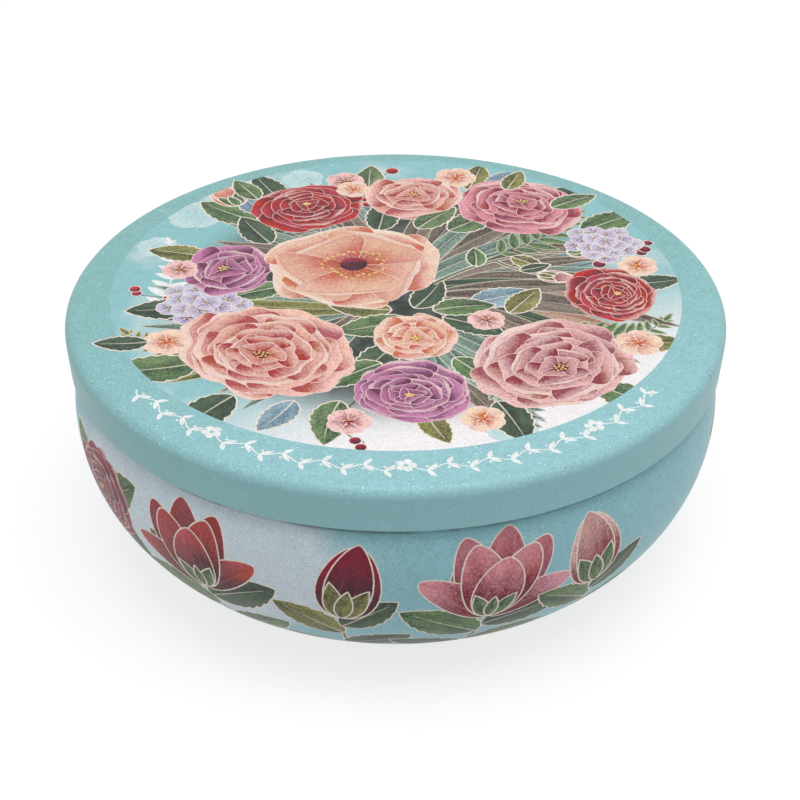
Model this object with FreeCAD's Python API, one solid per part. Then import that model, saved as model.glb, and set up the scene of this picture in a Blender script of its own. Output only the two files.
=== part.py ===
import FreeCAD, Part
import math
import os

# Round slip-lid tea tin, drawn from two sheets of tinplate: a bowl-shaped body and a flat lid.
# Millimetres. +Z is up, and the origin is the middle of the foot ring, on the table.

# The closed tin
lid_radius = 70.0
overall_height = 56.0
sheet = 0.25

# Lid: a flat panel, a rounded shoulder, and a skirt that draws in by a small draft angle
shoulder_radius = 2.3
skirt_depth = 10.0
skirt_draft = math.radians(4)

# Edges are rolled inwards for most of a turn, so that no raw edge shows
lid_roll_radius = 0.75
rim_roll_radius = 1.1
roll_turn = math.radians(270)

# Play between the lid and the body
side_play = 0.25
top_play = 0.20

# Body: a round wall up to the belly, where it is widest, and a tighter one from there to the neck
belly_radius = 69.3
belly_height = 35.5
wall_radius = 36.0
upper_wall_radius = 30.0
corner_radius = 6.0
neck_bend_radius = 1.0

# Base: a foot ring, and a panel pressed up inside it
foot_ring_width = 3.5
base_panel_rise = 1.2
base_step_radius = 1.2
base_step_turn = math.radians(45)

half_sheet = sheet / 2
right_angle = math.pi / 2


class FormedSheet:
    """A bent sheet's section, followed along the middle of its thickness from the axis outwards."""

    def __init__(self, height):
        self.r = 0.0
        self.z = height
        self.heading = 0.0
        self.left_edges = []
        self.right_edges = []
        self.start = self.faces()

    def faces(self):
        """The points on the sheet's left and right faces beside the middle line."""
        across_r = -half_sheet * math.sin(self.heading)
        across_z = half_sheet * math.cos(self.heading)
        left = FreeCAD.Vector(self.r + across_r, 0, self.z + across_z)
        right = FreeCAD.Vector(self.r - across_r, 0, self.z - across_z)
        return left, right

    def run(self, length):
        """Go straight on."""
        left_start, right_start = self.faces()
        self.r += length * math.cos(self.heading)
        self.z += length * math.sin(self.heading)
        left_end, right_end = self.faces()
        self.left_edges.append(Part.makeLine(left_start, left_end))
        self.right_edges.append(Part.makeLine(right_start, right_end))

    def bend(self, radius, turn):
        """Go round a bend of this middle radius: left for a positive turn, right for a negative one."""
        left_start, right_start = self.faces()
        self.advance(radius, turn / 2)
        left_middle, right_middle = self.faces()
        self.advance(radius, turn / 2)
        left_end, right_end = self.faces()
        self.left_edges.append(Part.Arc(left_start, left_middle, left_end).toShape())
        self.right_edges.append(Part.Arc(right_start, right_middle, right_end).toShape())

    def advance(self, radius, turn):
        """Move to the far end of an arc."""
        chord = 2 * radius * math.sin(abs(turn) / 2)
        self.r += chord * math.cos(self.heading + turn / 2)
        self.z += chord * math.sin(self.heading + turn / 2)
        self.heading += turn

    def spun(self):
        """The solid that the section makes when it is turned once about the tin's axis."""
        far_end = Part.makeLine(*self.faces())
        near_end = Part.makeLine(*self.start)
        outline = Part.Wire(self.left_edges + [far_end] + self.right_edges[::-1] + [near_end])
        return Part.Face(outline).revolve(FreeCAD.Vector(0, 0, 0), FreeCAD.Vector(0, 0, 1), 360)


# The lid's section, and where its rolled edge leaves the neck its room
shoulder_bend = shoulder_radius - half_sheet
lid_roll_bend = lid_roll_radius - half_sheet
skirt_drop = skirt_depth - shoulder_radius - lid_roll_radius
skirt_run = (skirt_drop - (shoulder_bend - lid_roll_bend) * math.sin(skirt_draft)) / math.cos(skirt_draft)
shoulder_to_roll = (shoulder_bend - lid_roll_bend) * math.cos(skirt_draft) - skirt_run * math.sin(skirt_draft)
lid_roll_centre = lid_radius - shoulder_radius + shoulder_to_roll
neck_radius = lid_roll_centre - lid_roll_radius - side_play


def slip_lid():
    lid = FormedSheet(overall_height - half_sheet)
    lid.run(lid_radius - shoulder_radius)
    lid.bend(shoulder_bend, -right_angle - skirt_draft)
    lid.run(skirt_run)
    lid.bend(lid_roll_bend, -roll_turn)
    return lid.spun()


def bowl_body():
    # The foot's corner and the wall share a tangent, which fixes the corner's turn and the foot's radius.
    wall_less_corner = wall_radius - corner_radius
    corner_turn = math.acos((belly_height - corner_radius) / wall_less_corner)
    foot_radius = belly_radius - wall_radius + wall_less_corner * math.sin(corner_turn)

    # The step between the base panel and the foot ring is two equal bends and a slope.
    step_slope = base_panel_rise - 2 * base_step_radius * (1 - math.cos(base_step_turn))
    step_run = step_slope / math.sin(base_step_turn)
    step_width = 2 * base_step_radius * math.sin(base_step_turn) + step_run * math.cos(base_step_turn)

    # Above the belly the wall leans in, until a small bend back brings it upright at the neck's radius.
    upper_wall_bend = upper_wall_radius - half_sheet
    lean = math.acos(1 - (belly_radius - neck_radius) / (upper_wall_bend + neck_bend_radius))

    body = FormedSheet(base_panel_rise + half_sheet)
    body.run(foot_radius - foot_ring_width - step_width)
    body.bend(base_step_radius, -base_step_turn)
    body.run(step_run)
    body.bend(base_step_radius, base_step_turn)
    body.run(foot_ring_width)
    body.bend(corner_radius - half_sheet, corner_turn)
    body.bend(wall_radius - half_sheet, right_angle - corner_turn)
    body.bend(upper_wall_bend, lean)
    body.bend(neck_bend_radius, -lean)
    rim_height = overall_height - sheet - top_play
    body.run(rim_height - rim_roll_radius - body.z)
    body.bend(rim_roll_radius - half_sheet, roll_turn)
    return body.spun()


os.makedirs("parts", exist_ok=True)
slip_lid().exportStep("parts/tin_lid.step")
bowl_body().exportStep("parts/tin_body.step")
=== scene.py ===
import math
import random

import bpy
import numpy as np
from mathutils import Matrix, Vector
from mathutils.geometry import delaunay_2d_cdt


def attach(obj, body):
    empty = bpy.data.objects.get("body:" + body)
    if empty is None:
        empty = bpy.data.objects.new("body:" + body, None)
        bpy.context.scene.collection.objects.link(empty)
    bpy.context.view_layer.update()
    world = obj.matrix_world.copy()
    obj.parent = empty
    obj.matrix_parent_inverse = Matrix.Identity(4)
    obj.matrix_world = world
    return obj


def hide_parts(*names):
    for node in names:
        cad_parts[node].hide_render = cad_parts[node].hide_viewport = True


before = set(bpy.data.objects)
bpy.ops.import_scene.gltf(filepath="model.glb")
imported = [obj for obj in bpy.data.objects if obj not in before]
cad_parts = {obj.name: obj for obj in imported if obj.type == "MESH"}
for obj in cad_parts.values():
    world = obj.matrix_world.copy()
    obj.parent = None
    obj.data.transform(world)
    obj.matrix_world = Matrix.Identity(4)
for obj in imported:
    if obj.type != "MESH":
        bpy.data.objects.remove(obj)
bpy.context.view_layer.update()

# A round printed tea tin: a slip lid with a flower medallion over a bowl with flower sprigs.
# Sizes are in millimetres, apart from the studio's, and turn into metres where Blender takes them.
MM = 0.001
FULL_TURN = 2 * math.pi
RIGHT_ANGLE = math.pi / 2

# The tin's two sheets, as they are formed
lid_radius = 70.0
overall_height = 56.0
sheet = 0.25
half_sheet = sheet / 2
shoulder_radius = 2.3
skirt_depth = 10.0
skirt_draft = math.radians(4)
lid_roll_radius = 0.75
rim_roll_radius = 1.1
roll_turn = math.radians(270)
side_play = 0.25
top_play = 0.20
belly_radius = 69.3
belly_height = 35.5
wall_radius = 36.0
upper_wall_radius = 30.0
corner_radius = 6.0
neck_bend_radius = 1.0
foot_ring_width = 3.5
base_panel_rise = 1.2
base_step_radius = 1.2
base_step_turn = math.radians(45)

# How finely the sheets are drawn, and how closely a print is cut into them
segments = 192
bend_error = 0.012
largest_bend_step = math.radians(20)
on_axis = 0.001
panel_edge_ring = 0.4
cut_tolerance = 1e-5
inside_only = 1
tiny = 1e-6

# The camera: the lid's centre as the photograph shows it, in pixels of its 800 x 800 frame
image_size = 800
focal_pixels = 2000.0
camera_distance = 426.6
camera_elevation = math.radians(30.5)
camera_roll = 0.0016
lid_centre_pixel = (395.6, 297.9)
sensor_width = 36.0

# Where the lid's print lies
medallion_radius = 61.0
medallion_back = 4.0
sky_overlap = 0.6
ring_cover_radius = 67.2
ring_cover_points = 97
lid_print_radius = 67.1

# The white vine on the front of the lid's ring
vine_radius = 62.6
vine_arc = (math.radians(-145), math.radians(-35))
vine_waves = 15
vine_wave_height = 0.9
points_per_wave = 12
vine_petals = 5

# Where the body's print lies: x is measured round it from the front, and y up it from the belly
sprig_foot = -56
frond_foot = -55
fallen_petals = 26
fallen_petal_start = -205
fallen_petal_step = 16.4

# Printed lines: a pair is the width at the start of a line and at its end
line_width = 0.32
fine_line = 0.22
petal_line = 0.18
vine_line = 0.30
fold_widths = (0.16, 0.16)
rib_widths = (0.44, 0.12)
vein_widths = (fine_line, 0.08)
stamen_widths = (0.16, 0.12)
frond_widths = (0.55, 0.15)
twig_widths = (0.55, 0.22)
stalk_widths = (0.24, 0.20)
stem_taper = 0.6
sharpest_miter = 2.2

# Printed dots
dot_sides = 8
heart_dot = 0.30
anther_dot = 0.42
blossom_dot = 0.26
vine_dot = 0.32
vine_flower_dot = 0.50

# Petals: how finely they are drawn, and the least and the most of what varies between them
petal_points = 9
petal_points_per_mm = 0.45
petal_start = 0.06
petal_lengths = (0.92, 1.06)
petal_breadths = (0.92, 1.10)
petal_swings = (-0.12, 0.12)
petal_curls = (-0.14, 0.14)
petal_shades = (0.0, 0.16)

# Petal rims, in shares of a petal's length: notches, ripples, and lips on all but the shortest petals
petal_notches = (0, 0.03, 0.06)
notch_width = 0.1
notch_from = 0.6
ripple_counts = (5, 6, 7)
lip_depths = (0.07, 0.13)
lip_from = 0.70
lip_tuck = 0.06
shortest_lipped_mm = 4

# Blooms: a petal's form, how much of it the next ring covers, and how its tones change ring by ring
bloom_widest = 0.68
bloom_blunt = 0.55
covered_share = 0.8
outer_lift = 0.12
inner_shade = 0.26
line_tint = 0.6

# Leaves and flower heads
blade_base = 0.02
tooth_depth = 0.2
tooth_middle = 0.75
points_per_tooth = 4
rib_reach = 0.86
foreshortening = 0.45
seed_turn = 2.4
heart_grains = 10
heart_share = 0.42
stamens = 28
stamen_swings = (-0.06, 0.06)
stamen_reaches = (0.28, 0.40)
anemone_heart = 0.17
blossom_breadth = 4.7
blossom_notch = 0.08
blossom_fade = (0.05, 0.85)
blossom_dot_reach = 0.28
blossom_heart = 0.13
florets = 17
floret_share = 0.36
floret_shades = (0.0, 0.4)
vein_reach = (0.16, 0.78)
vein_tint = 0.4
leaflet_slim = 0.3
leaflet_turn = 0.95
leaflet_curl = 0.2
tip_leaflet = 0.4
sheaf_lengths = (0.82, 1.08)
sheaf_slims = (0.10, 0.15)
sheaf_curls = (0.7, 1.3)
berry_stalk = 1.9
berry_sizes = (1.0, 1.5)
stem_leaf_slim = 0.48

# Lacquer: a size is how long a noise's waves are, and levels are where it starts to show and is full
lacquer_roughness = 0.42
lacquer_specular = 0.28
lacquer_light = 0.98
grain_size = 0.42
grain_contrast = 0.75
grain_depth = 0.04
blotch_size = 2.4
blotch_contrast = 0.22
speck_size = 0.85
speck_edge = (0.30, 0.12)
speck_levels = (0.66, 0.92)
speck_gathering = 0.6
# Painted glint: how much the bright specks lighten the colour
painted_glint_light = 0.55
speck_height = 0.6
pit_levels = (0.90, 0.97)
pit_shade = 0.30

# The lid's ground: its painted light side as shares of x and y, and chips along its edge
lit_side = (0.35, -1)
lit_levels = (-0.4, 1.1)
tint_size = 45
tint_sway = 0.5
chip_size = 1.3
chip_levels = (0.69, 0.75)
chip_strength = 1.6
edge_blend = 0.6
skirt_grain = 0.4

# The body's ground: the sides where mist lies, and a painted shade line under the lid's edge, from the
# neck's base
mist_size = 26
mist_sway = 0.3
mist_sides = ((-0.63, -0.78), (0.6, 0.8))
mist_levels = (0.94, 1.06)
under_lid_shade_line = ((-0.9, -0.1), (1.4, 0.7))
under_lid_shade_size = 6
under_lid_shade_levels = (0.35, 0.60)
under_lid_shade_least = 0.3
under_lid_shade_variation = 0.4
body_grain = 0.9
# How much painted glint the body's specks carry
body_painted_glints = 0.3

# The sky: clouds, its pale side, and the shade near the medallion's middle
cloud_size = 26
cloud_levels = (0.50, 0.72)
cloud_share = 0.6
pale_side = (0.5, -1)
pale_levels = (0.2, 0.9)
shaded_reach = (52, 34)
shade_size = 5
shade_levels = (0.35, 0.65)
sky_grain = 0.65

# Printed tones: three numbers are the waves across a shape, along it and from one shape to the next
streak_waves = (9.0, 1.2, 60.0)
streak_contrast = 0.55
petal_waves = (1.6, 1.8, 40.0)
petal_contrast = 0.8
petal_drift = (0.7, 0.9, 90.0)
petal_levels = (-0.06, 0.94)
petal_right_tone = -0.10
petal_strength = 1.18
petal_stipple = 1.2
leaf_waves = (2.2, 3.0, 50.0)
leaf_contrast = 1.3
leaf_drift = (0.8, 1.2, 90.0)
leaf_rib_tone = 0.17
leaf_edge_tone = 0.25
leaf_half_tone = 0.22
leaf_vein_tone = 0.22
leaf_stipple = 1.4
veins_per_leaf = 7
vein_slant = 0.45
vein_edge = (0.12, 0.0)
rib_edge = (-0.05, 0.05)
stipple_size = 0.55
hue_drift = 0.07
strength_drift = 0.5
line_wear_size = 3
line_wear_levels = (0.3, 0.7)
line_wear = 0.12

# The inside: the rings that drawing left, and stains
drawing_ring_size = 0.55
drawing_ring_depth = 0.01
drawing_ring_strength = 0.6
inside_roughness = 0.26
ring_roughness = 0.16
stain_size = 14
stain_levels = (0.35, 0.70)

# The studio, in metres and watts
floor_reach = 3.0
floor_grey = 0.76
seen_floor_grey = 0.32
seen_floor_glow = 0.77
far_floor = (0.35, 0.90)
world_light = 0.25
overhead_power = 6.4
overhead_size = 0.8
overhead_place = (0.08, -0.13, 0.90)
side_powers = (0.80, 0.55)
side_size = 0.6
side_places = ((-0.95, -0.10, 0.26), (0.95, -0.10, 0.26))


# Inks

def ink(red, green, blue):
    """A printed colour, given as it looks from 0 to 255, in linear light."""
    def linear(value):
        share = value / 255
        return share / 12.92 if share <= 0.04045 else ((share + 0.055) / 1.055) ** 2.4
    return (linear(red), linear(green), linear(blue), 1.0)


def between(first, second, share):
    return tuple(a + (b - a) * share for a, b in zip(first, second))


lid_teal = ink(156, 206, 212)
# The far left's teal: partly painted shade and partly the print's own hue
lid_teal_far = ink(140, 190, 191)
body_teal = ink(153, 205, 215)
mist_blue = ink(220, 234, 243)
sky_teal = ink(146, 200, 204)
sky_pale = ink(250, 246, 248)
sky_deep = ink(82, 88, 82)

cream = ink(246, 234, 222)
blush = ink(248, 222, 216)
white = ink(244, 249, 249)
stem_brown = ink(92, 84, 70)
stem_green = ink(84, 108, 70)
gold = ink(232, 196, 124)
tin_grey = ink(128, 134, 130)
# The colour of the painted shade under the lid's edge
under_lid_shade_grey = ink(62, 80, 84)
inside_gold = ink(214, 198, 160)
inside_pale = ink(226, 216, 190)

# Each pair runs from the deep tone to the light one
dusty_pink = (ink(130, 44, 60), ink(250, 212, 208))
rose_pink = (ink(118, 32, 54), ink(240, 176, 184))
salmon = (ink(158, 58, 58), ink(253, 214, 202))
peach = (ink(194, 104, 86), ink(252, 226, 208))
plum = (ink(84, 28, 62), ink(212, 152, 186))
crimson = (ink(84, 20, 32), ink(198, 92, 96))
maroon = (ink(66, 20, 32), ink(204, 116, 118))
wine = (ink(52, 16, 28), ink(160, 70, 86))
mauve = (ink(104, 90, 138), ink(206, 198, 222))
leaf_green = (ink(34, 58, 42), ink(132, 162, 106))
leaf_dark = (ink(26, 42, 36), ink(88, 114, 84))
leaf_olive = (ink(54, 62, 32), ink(168, 164, 96))
leaf_grey = (ink(62, 86, 82), ink(160, 184, 168))
leaf_blue = (ink(84, 116, 138), ink(172, 198, 208))
taupe = (ink(58, 50, 46), ink(160, 144, 128))
tan = (ink(150, 108, 92), ink(212, 178, 158))
ghost = (between(sky_teal, white, 0.30), between(sky_teal, white, 0.52))


# Formed sheets

def bend(radius, turn):
    return radius * abs(turn), turn


def run(length):
    return length, 0.0


def bent_sheet(height, moves):
    """The middle line of a bent sheet from the axis outwards, as rows of r, z and heading, and the row
    where each move ends. A move is a length and a turn: straight for no turn, else a round bend."""
    r, z, heading = 0.0, height, 0.0
    line = [(r, z, heading)]
    ends = {}
    for name, (length, turn) in moves.items():
        steps = 1
        chord = length
        if turn:
            radius = length / abs(turn)
            steps = math.ceil(abs(turn) / min(largest_bend_step, 2 * math.acos(1 - bend_error / radius)))
            chord = 2 * radius * math.sin(abs(turn) / steps / 2)
        for _ in range(steps):
            heading += turn / steps / 2
            r += chord * math.cos(heading)
            z += chord * math.sin(heading)
            heading += turn / steps / 2
            line.append((r, z, heading))
        ends[name] = len(line) - 1
    return np.array(line), ends


def sheet_face(line, side):
    """One face of a sheet, +1 for its left and -1 for its right: rows of r, z and the normal's r, z."""
    normal = side * np.stack([-np.sin(line[:, 2]), np.cos(line[:, 2])], axis=1)
    return np.hstack([line[:, :2] + half_sheet * normal, normal])


shoulder_bend = shoulder_radius - half_sheet
lid_roll_bend = lid_roll_radius - half_sheet
bend_excess = shoulder_bend - lid_roll_bend
skirt_drop = skirt_depth - shoulder_radius - lid_roll_radius
skirt_run = (skirt_drop - bend_excess * math.sin(skirt_draft)) / math.cos(skirt_draft)
shoulder_to_roll = bend_excess * math.cos(skirt_draft) - skirt_run * math.sin(skirt_draft)
lid_panel_radius = lid_radius - shoulder_radius
neck_radius = lid_panel_radius + shoulder_to_roll - lid_roll_radius - side_play

wall_less_corner = wall_radius - corner_radius
corner_turn = math.acos((belly_height - corner_radius) / wall_less_corner)
foot_radius = belly_radius - wall_radius + wall_less_corner * math.sin(corner_turn)
step_drop = base_panel_rise - 2 * base_step_radius * (1 - math.cos(base_step_turn))
step_run = step_drop / math.sin(base_step_turn)
step_width = 2 * base_step_radius * math.sin(base_step_turn) + step_run * math.cos(base_step_turn)
upper_wall_bend = upper_wall_radius - half_sheet
wall_lean = math.acos(1 - (belly_radius - neck_radius) / (upper_wall_bend + neck_bend_radius))
neck_base = belly_height + (upper_wall_bend + neck_bend_radius) * math.sin(wall_lean)
rim_height = overall_height - sheet - top_play

lid_line, _ = bent_sheet(overall_height - half_sheet, {
    "panel": run(lid_panel_radius),
    "shoulder": bend(shoulder_bend, -RIGHT_ANGLE - skirt_draft),
    "skirt": run(skirt_run),
    "roll": bend(lid_roll_bend, -roll_turn),
})
body_line, body_ends = bent_sheet(base_panel_rise + half_sheet, {
    "panel": run(foot_radius - foot_ring_width - step_width),
    "step top": bend(base_step_radius, -base_step_turn),
    "step": run(step_run),
    "step foot": bend(base_step_radius, base_step_turn),
    "foot ring": run(foot_ring_width),
    "corner": bend(corner_radius - half_sheet, corner_turn),
    "wall": bend(wall_radius - half_sheet, RIGHT_ANGLE - corner_turn),
    "upper wall": bend(upper_wall_bend, wall_lean),
    "neck bend": bend(neck_bend_radius, -wall_lean),
    "neck": run(rim_height - rim_roll_radius - neck_base),
    "rim": bend(rim_roll_radius - half_sheet, roll_turn),
})
wall_start, wall_end = body_ends["foot ring"], body_ends["neck bend"]


# Prints

def placed(x, y, turn=0.0, width=1.0, length=1.0):
    """Where a shape lies: its own y axis is turned left from the print's, and its sides are scaled."""
    c, s = math.cos(turn), math.sin(turn)
    return np.array([[c * width, -s * length, x], [s * width, c * length, y], [0, 0, 1]])


def round_at(x, y, radius):
    return placed(x, y, 0, radius, radius)


def moved(place, points):
    return np.asarray(points) @ place[:2, :2].T + place[:2, 2]


def curled(points, curl):
    """Points of a shape in its own coordinates, bent sideways towards its far end."""
    bent = np.array(points, float)
    bent[:, 0] += curl * bent[:, 1] ** 2
    return bent


def pointing(angle):
    return np.array([math.cos(angle), math.sin(angle)])


def leftwards(outline):
    """The same closed outline, going left round its middle from its lowest point."""
    ahead = np.roll(outline, -1, axis=0)
    if (outline[:, 0] * ahead[:, 1] - outline[:, 1] * ahead[:, 0]).sum() < 0:
        outline = outline[::-1]
    return np.roll(outline, -np.argmin(outline[:, 1]), axis=0)


def widened(outline, by):
    """A closed outline with every side pushed out by a distance."""
    outline = leftwards(outline)
    ahead = np.roll(outline, -1, axis=0) - outline
    ahead /= np.linalg.norm(ahead, axis=1)[:, None]
    out = np.stack([ahead[:, 1], -ahead[:, 0]], axis=1)
    middle = out + np.roll(out, 1, axis=0)
    middle /= np.maximum(np.linalg.norm(middle, axis=1), tiny)[:, None]
    reach = 1 / np.maximum((middle * out).sum(axis=1), 1 / sharpest_miter)
    return outline + by * middle * reach[:, None]


class Print:
    """Flat shapes in the order that they are printed, each over the ones before it."""

    def __init__(self, seed):
        self.random = random.Random(seed)
        self.shapes = []

    def fill(self, outline, place, material, inks, curl=0.0, fade=(0.0, 1.0)):
        """Print a shape from its outline in its own coordinates. Its inks run from one to the other along
        its y axis, between the two ends of fade, and curl bends it sideways towards its far end."""
        self.shapes.append({
            "points": moved(place, curled(outline, curl)),
            "inverse": np.linalg.inv(place),
            "curl": curl,
            "fade": fade,
            "material": material,
            "inks": inks,
            "seed": self.random.random(),
        })

    def edged(self, outline, place, material, inks, line, curl, fade=(0.0, 1.0), width=line_width):
        """A shape with a fine line printed round it."""
        self.fill(outline, place, material, inks, curl, fade)
        shape = self.shapes[-1]
        under = dict(shape, points=widened(shape["points"], width), material="line", inks=(line, line))
        self.shapes.insert(-1, under)

    def stroke(self, path, first_width, last_width, colour):
        """A line along a path, wider at one end than at the other."""
        path = np.asarray(path, float)
        ahead = np.gradient(path, axis=0)
        ahead /= np.linalg.norm(ahead, axis=1)[:, None]
        half = np.linspace(first_width, last_width, len(path))[:, None] / 2
        out = np.stack([-ahead[:, 1], ahead[:, 0]], axis=1) * half
        self.fill(np.vstack([path - out, (path + out)[::-1]]), np.eye(3), "line", (colour, colour))

    def dot(self, spot, radius, colour):
        self.fill(disc(dot_sides), round_at(*spot, radius), "line", (colour, colour))


def curve(start, middle, end, count):
    """Points along a smooth bow between two points, pulled towards a third."""
    t = np.linspace(0, 1, count)[:, None]
    start, middle, end = (np.array(p, float) for p in (start, middle, end))
    return (1 - t) ** 2 * start + 2 * t * (1 - t) * middle + t ** 2 * end


def turn_along(path, at):
    """How far a shape is turned whose y axis follows a path at one of its points."""
    ahead = np.gradient(path, axis=0)[at]
    return math.atan2(ahead[1], ahead[0]) - RIGHT_ANGLE


def disc(sides):
    turn = np.arange(sides) * FULL_TURN / sides
    return np.stack([np.cos(turn), np.sin(turn)], axis=1)


def both_sides(half_widths, heights):
    """A closed outline that is alike on both sides of its y axis, from its base up to a point."""
    right = np.stack([half_widths, heights], axis=1)
    left = np.stack([-half_widths, heights], axis=1)[::-1]
    return np.vstack([right, left[1:]])


def eased(start, points):
    """Heights up to 1 that lie closer together near both ends of a shape."""
    return (1 - np.cos(np.linspace(start, 1, points) * math.pi)) / 2


def petal_outline(draw, widest=0.66, blunt=0.6, notch=0.0, ruffle=0.0, points=12):
    """A round petal from its base at the origin to its rim at y = 1, one unit wide."""
    t = eased(petal_start, points)
    power = math.log(0.5) / math.log(widest)
    half = 0.5 * np.sin(math.pi * np.minimum(t ** power, 1)) ** blunt
    half[-1] = 0
    outline = both_sides(half, t)
    if ruffle:
        turn = np.arctan2(outline[:, 0], outline[:, 1] - 0.5)
        wave = np.sin(turn * draw.choice(ripple_counts) + draw.uniform(0, FULL_TURN)) * outline[:, 1]
        outline *= (1 + ruffle * wave)[:, None]
    outline[:, 1] -= notch * np.exp(-(outline[:, 0] / notch_width) ** 2) * (outline[:, 1] > notch_from)
    return outline


def blade_widths(t, rise, fall):
    half = t ** rise * (1 - t) ** fall
    return half * (0.5 / half.max())


def pointed(half_widths, heights):
    """The outline of a blade with a narrow base and a sharp tip."""
    half_widths[0] = blade_base
    half_widths[-1] = 0
    return both_sides(half_widths, heights)


def blade_outline(rise=0.7, fall=0.95, points=15):
    """A pointed blade from its base at the origin to its tip at y = 1, one unit wide."""
    t = eased(0, points)
    return pointed(blade_widths(t, rise, fall), t)


def toothed_outline(teeth):
    """A pointed leaf with saw teeth that lean towards its tip."""
    t = np.linspace(0, 1, points_per_tooth * teeth + 1)
    along_tooth = np.arange(len(t)) % points_per_tooth / points_per_tooth
    toothed = 1 + tooth_depth * (tooth_middle - along_tooth) * np.sin(math.pi * t) ** 0.5
    return pointed(blade_widths(t, 0.62, 0.85) * toothed, t)


def leaf(art, x, y, turn, length, inks, slim, line, teeth, curl, rib=True):
    """A leaf, toothed or plain, with its middle rib."""
    place = placed(x, y, turn, length * slim, length)
    art.edged(toothed_outline(teeth) if teeth else blade_outline(), place, "leaf", inks, line, curl)
    if rib:
        along = np.linspace(0, rib_reach, 9)
        spine = curled(np.stack([0 * along, along], axis=1), curl)
        art.stroke(moved(place, spine), *rib_widths, between(inks[1], line, line_tint))


def petal(art, outline, place, inks, line, curl, fade, lip):
    """A petal, and the paler lip of a rim that turns over."""
    art.edged(outline, place, "petal", inks, line, curl, fade, petal_line)
    if lip:
        rim = outline[outline[:, 1] > lip_from]
        reach = np.abs(rim[:, 0]).max()
        under = rim - np.stack([lip_tuck * rim[:, 0], lip * (1 - (rim[:, 0] / reach) ** 2)], axis=1)
        pale = (between(inks[1], inks[0], 0.12), between(inks[1], cream, 0.6))
        art.fill(np.vstack([rim, under[-2:0:-1]]), place, "petal", pale, curl, (1 - 1.6 * lip, 1.0))
        fold = curled(under, curl)[1:-1]
        art.stroke(moved(place, fold), *fold_widths, between(*inks, 0.2))


def tilted(spot, lean, tilt):
    """The place of a flower turned away from the viewer: it looks shorter the way that it leans."""
    turned = placed(0, 0, lean)
    return placed(*spot) @ (turned @ np.diag([1, 1 - foreshortening * tilt, 1]) @ turned.T)


def leaning(lean, tilt, radius):
    """How far the middle of a tilted flower moves the way that it leans."""
    return np.array([-math.sin(lean), math.cos(lean)]) * foreshortening * tilt * radius


def bloom(art, x, y, radius, inks, rings, lean, tilt, ruffle, line=blush, heart=True, lips=0.5):
    """A many-petalled flower, ring by ring from the outside in. Each ring is a count of petals, how far
    out they reach and how broad they are. In a tilted flower the inner rings move the way that it leans.
    lips is the share of petals whose rims turn over."""
    draw = art.random
    shift = leaning(lean, tilt, radius)
    reaches = [reach for _, reach, _ in rings] + [0.0]
    for number, (count, reach, breadth) in enumerate(rings):
        depth = number / (len(rings) - 1)
        deep = between(*inks, outer_lift * (1 - depth))
        fade = (covered_share * reaches[number + 1] / reach, 1.0)
        base = tilted((x, y) + shift * (1 - reach), lean, tilt)
        start = draw.uniform(0, FULL_TURN)
        for step in range(count):
            angle = start + FULL_TURN * (step + draw.uniform(*petal_swings)) / count
            length = radius * reach * draw.uniform(*petal_lengths)
            width = FULL_TURN * length * breadth / count * draw.uniform(*petal_breadths)
            place = base @ placed(0, 0, angle, width, length)
            points = round(petal_points + petal_points_per_mm * length)
            notch = draw.choice(petal_notches)
            outline = petal_outline(draw, bloom_widest, bloom_blunt, notch, ruffle, points)
            tone = (deep, between(inks[1], inks[0], inner_shade * depth + draw.uniform(*petal_shades)))
            turns_over = draw.random() < lips and length > shortest_lipped_mm
            lip = draw.uniform(*lip_depths) if turns_over else 0.0
            curl = draw.uniform(*petal_curls)
            petal(art, outline, place, tone, between(tone[1], line, line_tint), curl, fade, lip)
    if heart:
        middle = tilted((x, y) + shift, lean, tilt)
        size = radius * rings[-1][1] * heart_share
        deep = (between(inks[0], wine[0], 0.6), inks[0])
        art.fill(disc(14), middle @ round_at(0, 0, size), "petal", deep)
        for grain in range(heart_grains):
            reach = size * 0.9 * math.sqrt((grain + 0.5) / heart_grains)
            art.dot(moved(middle, [reach * pointing(seed_turn * grain)])[0], heart_dot, gold)


peony_rings = [(7, 1.0, 1.35), (7, 0.84, 1.35), (6, 0.68, 1.3), (6, 0.53, 1.3), (5, 0.38, 1.3),
               (4, 0.23, 1.2)]
camellia_rings = [(8, 1.0, 1.25), (8, 0.82, 1.25), (7, 0.65, 1.25), (6, 0.48, 1.25), (5, 0.32, 1.2),
                  (3, 0.17, 1.2)]
small_rings = [(6, 1.0, 1.3), (6, 0.76, 1.3), (5, 0.53, 1.3), (3, 0.3, 1.2)]
anemone_rings = [(6, 1.0, 1.35), (5, 0.8, 1.35)]


def anemone(art, x, y, radius, inks, lean, tilt):
    """An open flower with a dark middle and a ring of stamens."""
    bloom(art, x, y, radius, inks, anemone_rings, lean, tilt, 0.02, cream, False, 0.8)
    middle = tilted((x, y) + leaning(lean, tilt, radius) * 0.5, lean, tilt)
    for stamen in range(stamens):
        angle = stamen * FULL_TURN / stamens + art.random.uniform(*stamen_swings)
        tip = radius * art.random.uniform(*stamen_reaches) * pointing(angle)
        art.stroke(moved(middle, [0 * tip, 0.5 * tip, tip]), *stamen_widths, wine[0])
        art.dot(moved(middle, [tip])[0], anther_dot, gold)
    art.fill(disc(20), middle @ round_at(0, 0, radius * anemone_heart), "petal", wine)


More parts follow.
